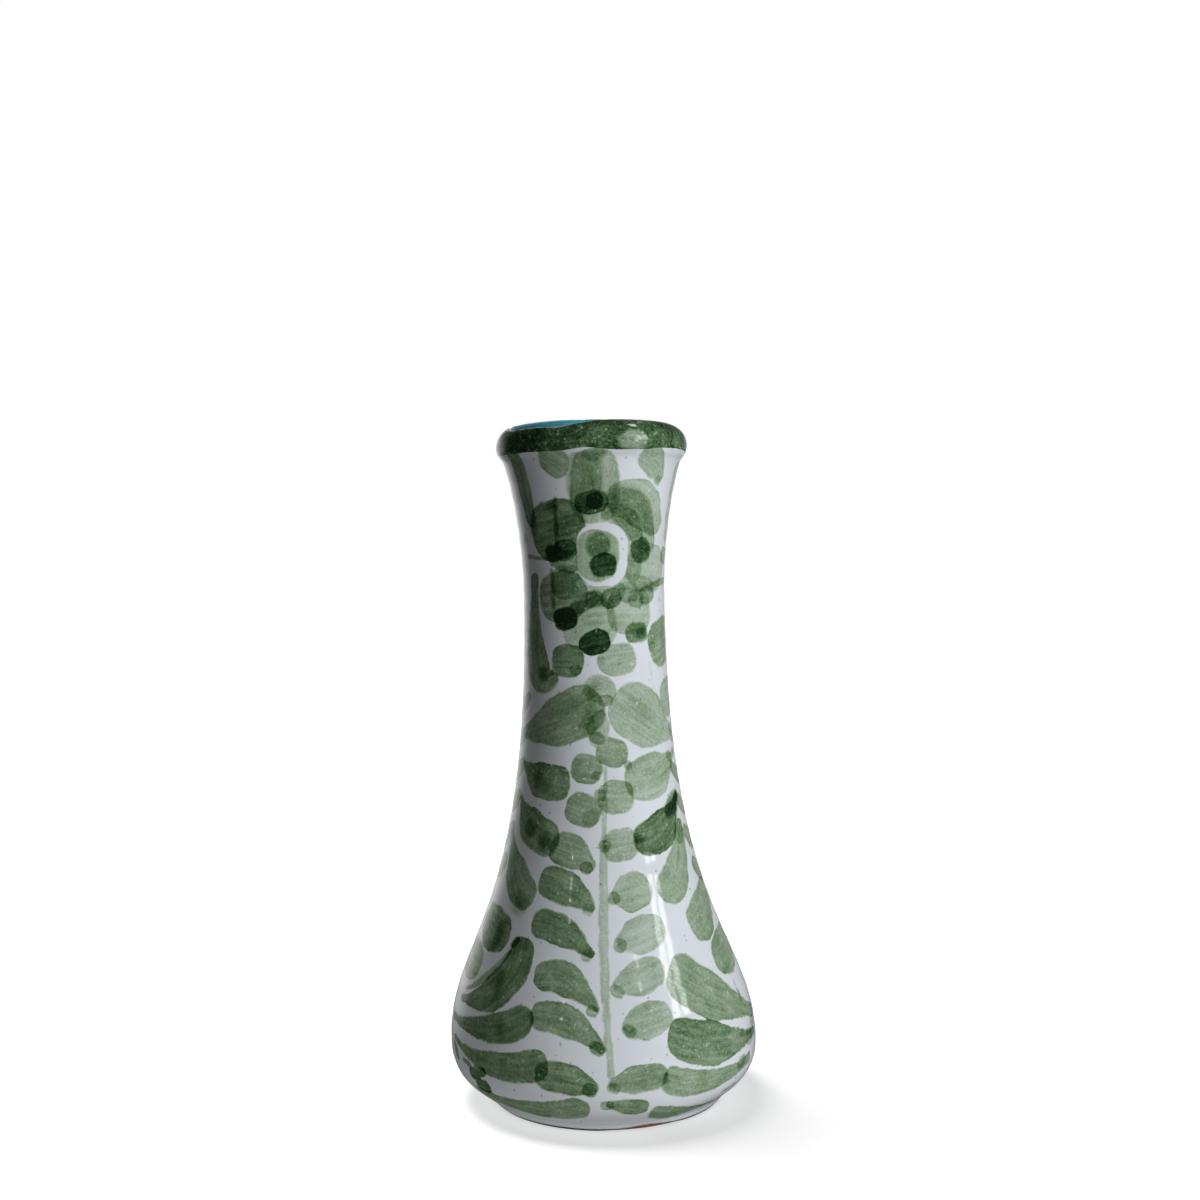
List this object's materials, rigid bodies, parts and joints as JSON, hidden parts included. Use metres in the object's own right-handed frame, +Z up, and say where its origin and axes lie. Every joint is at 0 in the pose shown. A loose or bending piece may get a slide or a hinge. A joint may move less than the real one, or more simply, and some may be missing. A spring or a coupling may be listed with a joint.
{
  "type": "pottery bud vase",
  "caption": "Hand-thrown bottle-shaped earthenware vase with a low round belly, long neck and rolled lip, tin glazed and brush painted with a flower and fern leaves.",
  "frame": {"origin": "centre of the foot ring, on the surface the vase stands on", "axes": "+Z up along the throwing axis; the painted flower faces -Y"},
  "size_m": [0.091, 0.091, 0.1992],
  "materials": {
    "fired_clay": "bare fired earthenware, matt and slightly gritty",
    "white_tin_glaze": "opaque glossy tin glaze, cool white, painted with green brushwork",
    "green_glaze": "glossy dark copper green, uneven lower edge",
    "turquoise_glaze": "glossy turquoise, thin over the lip"
  },
  "bodies": {
    "root": {"clay_body": "fired_clay", "white_glaze": "white_tin_glaze", "rim_glaze": "green_glaze", "liner_glaze": "turquoise_glaze"}
  },
  "joints": []
}
